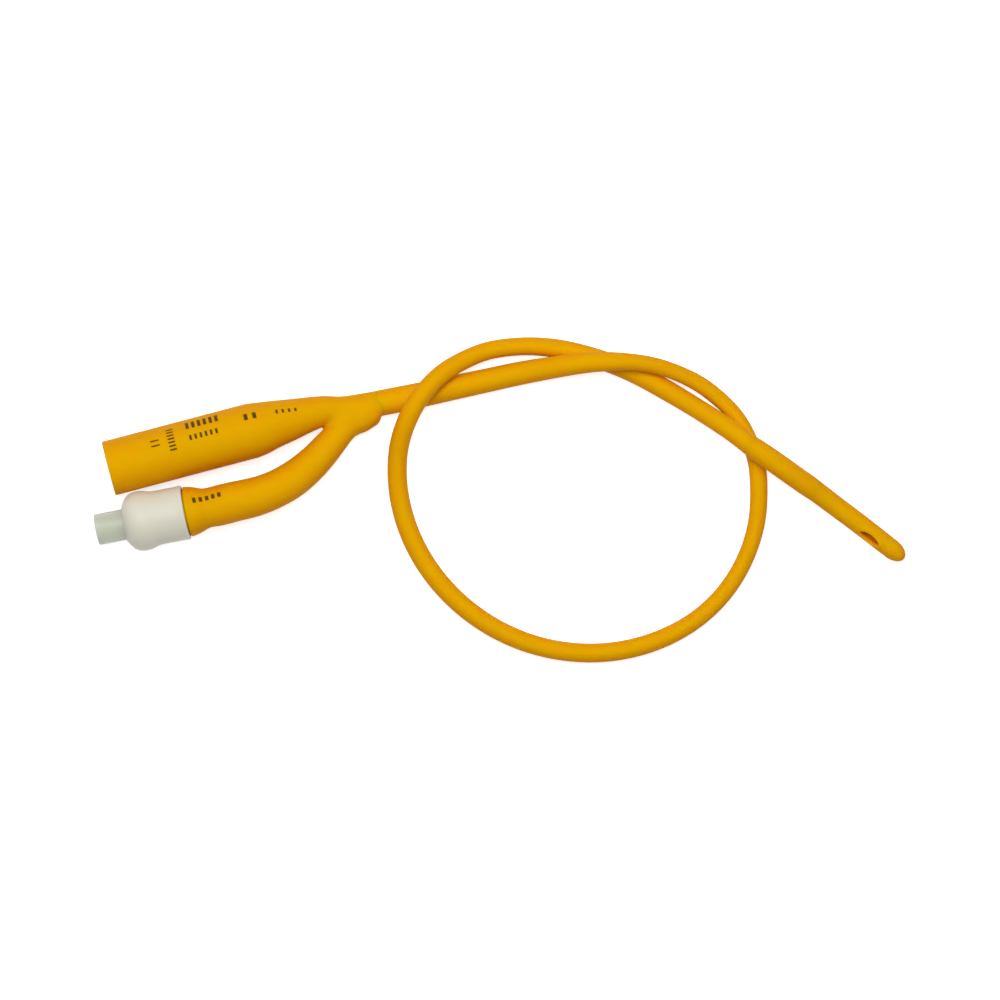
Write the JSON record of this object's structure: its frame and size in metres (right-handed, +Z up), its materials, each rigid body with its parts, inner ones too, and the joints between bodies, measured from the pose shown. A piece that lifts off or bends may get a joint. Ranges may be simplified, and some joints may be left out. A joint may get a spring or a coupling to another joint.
{
  "type": "foley urinary catheter",
  "caption": "Two-way latex balloon catheter lying in a loose overhand loop: wide drainage funnel, side arm with white check valve, thin hose, flat balloon and round eyed tip.",
  "frame": {"origin": "middle of the base of the Y body with its valve, on the surface that the catheter lies on; the hose with its balloon and tip is left out, since it lies wherever it is put", "axes": "+X along the drainage funnel from its mouth towards the hose, +Y from the valve arm towards the funnel, +Z up"},
  "size_m": [0.1688, 0.0749, 0.0131],
  "materials": {
    "amber_latex": "satin, slightly see-through natural latex",
    "white_rubber": "satin",
    "frosted_plastic": "frosted, translucent",
    "seal_rubber": "matte",
    "spring_wire": "drawn wire"
  },
  "bodies": {
    "catheter": {"y_funnel": "amber_latex", "shaft": "amber_latex", "balloon_sleeve": "amber_latex", "eyed_tip": "amber_latex", "valve_sleeve": "white_rubber", "luer_port": "frosted_plastic", "barbed_stem": "frosted_plastic", "valve_spring": "spring_wire"},
    "plunger": {"valve_plunger": "frosted_plastic", "plunger_seal": "seal_rubber"}
  },
  "joints": [
    {"name": "plunger_slide", "type": "slide", "parent": "catheter", "child": "plunger", "axis": [0.9956, -0.0626, 0.0698], "range_m": [0, 0.0012], "stiffness_N_per_m": 300, "springref_m": -0.001, "deforming": ["valve_spring"]}
  ]
}
